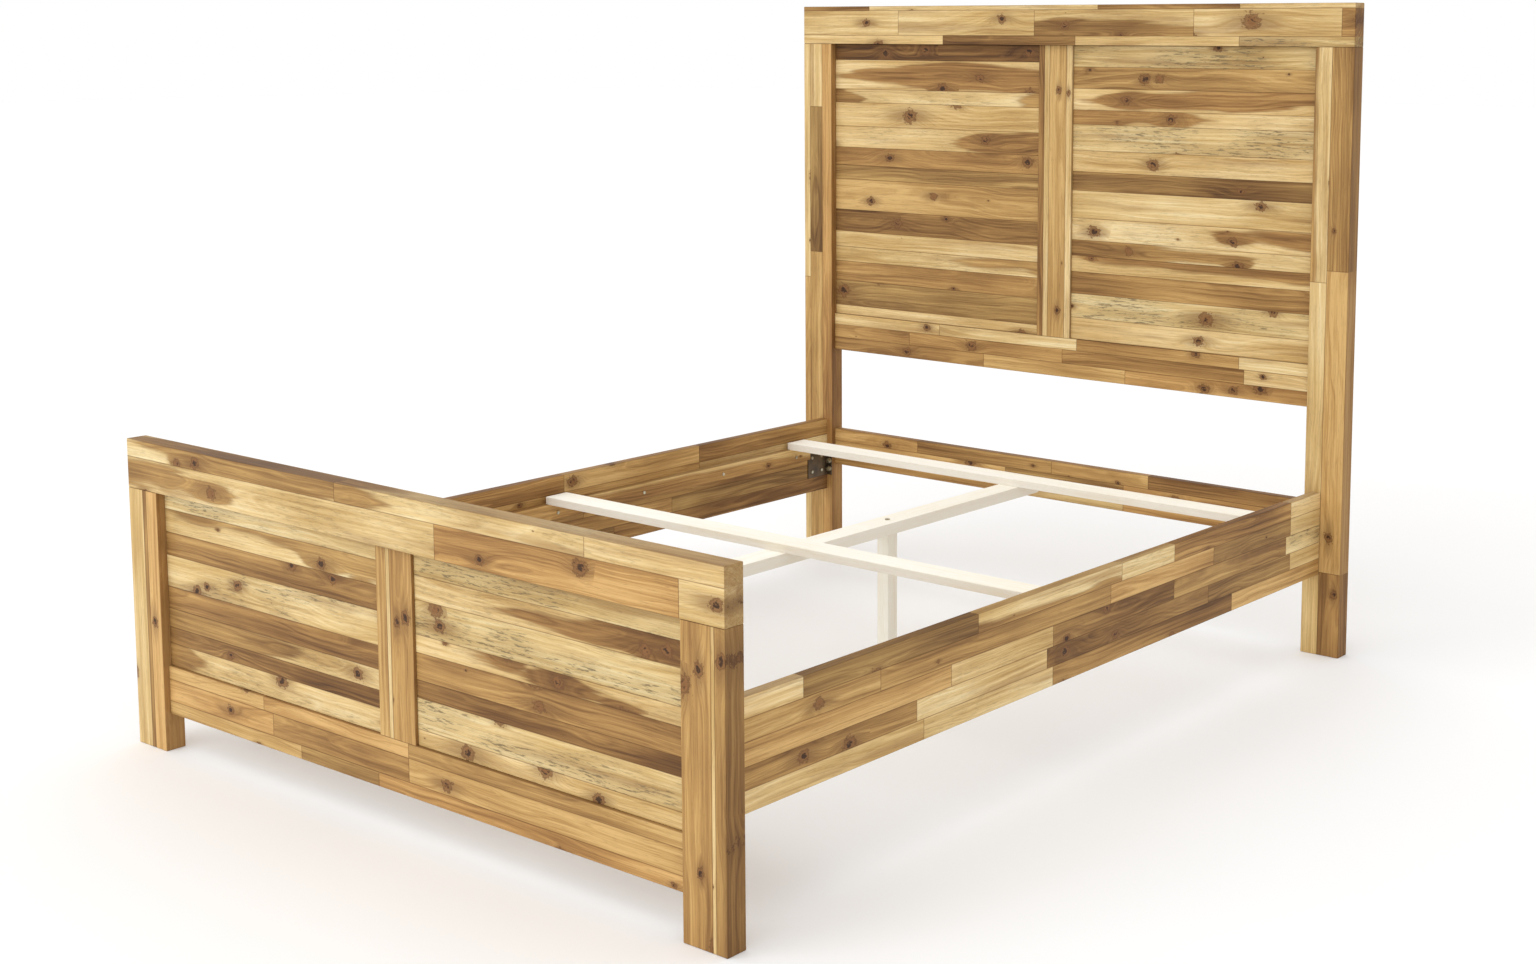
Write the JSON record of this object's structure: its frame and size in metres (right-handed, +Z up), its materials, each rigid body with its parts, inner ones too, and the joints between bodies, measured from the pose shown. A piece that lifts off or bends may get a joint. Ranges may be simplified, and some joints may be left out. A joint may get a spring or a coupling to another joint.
{
  "type": "wooden bed frame",
  "caption": "Queen size wooden bed frame with tall panelled headboard, low panelled footboard, side rails, loose cross slats, centre beam and support legs.",
  "frame": {"origin": "on the floor, at the centre of the bed's footprint", "axes": "+Z up, +Y towards the headboard, +X to the right when looking from the foot"},
  "size_m": [1.69, 2.15, 1.553],
  "materials": {
    "acacia_post": "clear satin, strong heartwood and sapwood contrast",
    "acacia_rail": "clear satin, edge-glued staves",
    "acacia_panel": "clear satin, edge-glued boards with knots",
    "acacia_side": "clear satin, edge-glued staves",
    "ledger_wood": "clear satin",
    "pine": "bare planed softwood, almost white",
    "dowel_beech": "bare, fluted dowel stock",
    "bracket_steel": "dark bronze powder coat",
    "zinc_steel": "zinc plated",
    "glide_plastic": "moulded"
  },
  "bodies": {
    "frame": {"footboard_left_post": "acacia_post", "footboard_right_post": "acacia_post", "footboard_cap_rail": "acacia_rail", "footboard_bottom_rail": "acacia_rail", "footboard_centre_stile": "acacia_rail", "footboard_left_panel": "acacia_panel", "footboard_right_panel": "acacia_panel", "headboard_left_post": "acacia_post", "headboard_right_post": "acacia_post", "headboard_cap_rail": "acacia_rail", "headboard_bottom_rail": "acacia_rail", "headboard_centre_stile": "acacia_rail", "headboard_left_panel": "acacia_panel", "headboard_right_panel": "acacia_panel", "headboard_lower_cross_rail": "acacia_rail", "left_side_rail": "acacia_side", "right_side_rail": "acacia_side", "left_ledger_strip": "ledger_wood", "right_ledger_strip": "ledger_wood", "centre_beam": "pine", "foot_support_leg": "pine", "head_support_leg": "pine", "left_footboard_bracket": "bracket_steel", "left_headboard_bracket": "bracket_steel", "right_footboard_bracket": "bracket_steel", "right_headboard_bracket": "bracket_steel", "beam_angle": "bracket_steel", "rail_hanger_bolts": "zinc_steel", "rail_bolt_washers": "zinc_steel", "rail_bolt_nuts": "zinc_steel", "bracket_screws": "zinc_steel", "ledger_screws": "zinc_steel", "leg_screws": "zinc_steel", "beam_angle_screws": "zinc_steel", "rail_dowels": "dowel_beech", "cap_dowels": "dowel_beech", "leg_glides": "glide_plastic"},
    "slat_foot": {"slat_foot": "pine"},
    "slat_middle": {"slat_middle": "pine"},
    "slat_head": {"slat_head": "pine"}
  },
  "joints": [
    {"name": "slat_foot_lift", "type": "slide", "parent": "frame", "child": "slat_foot", "axis": [0, 0, 1], "range_m": [0, 0.15]},
    {"name": "slat_middle_lift", "type": "slide", "parent": "frame", "child": "slat_middle", "axis": [0, 0, 1], "range_m": [0, 0.15]},
    {"name": "slat_head_lift", "type": "slide", "parent": "frame", "child": "slat_head", "axis": [0, 0, 1], "range_m": [0, 0.15]}
  ]
}
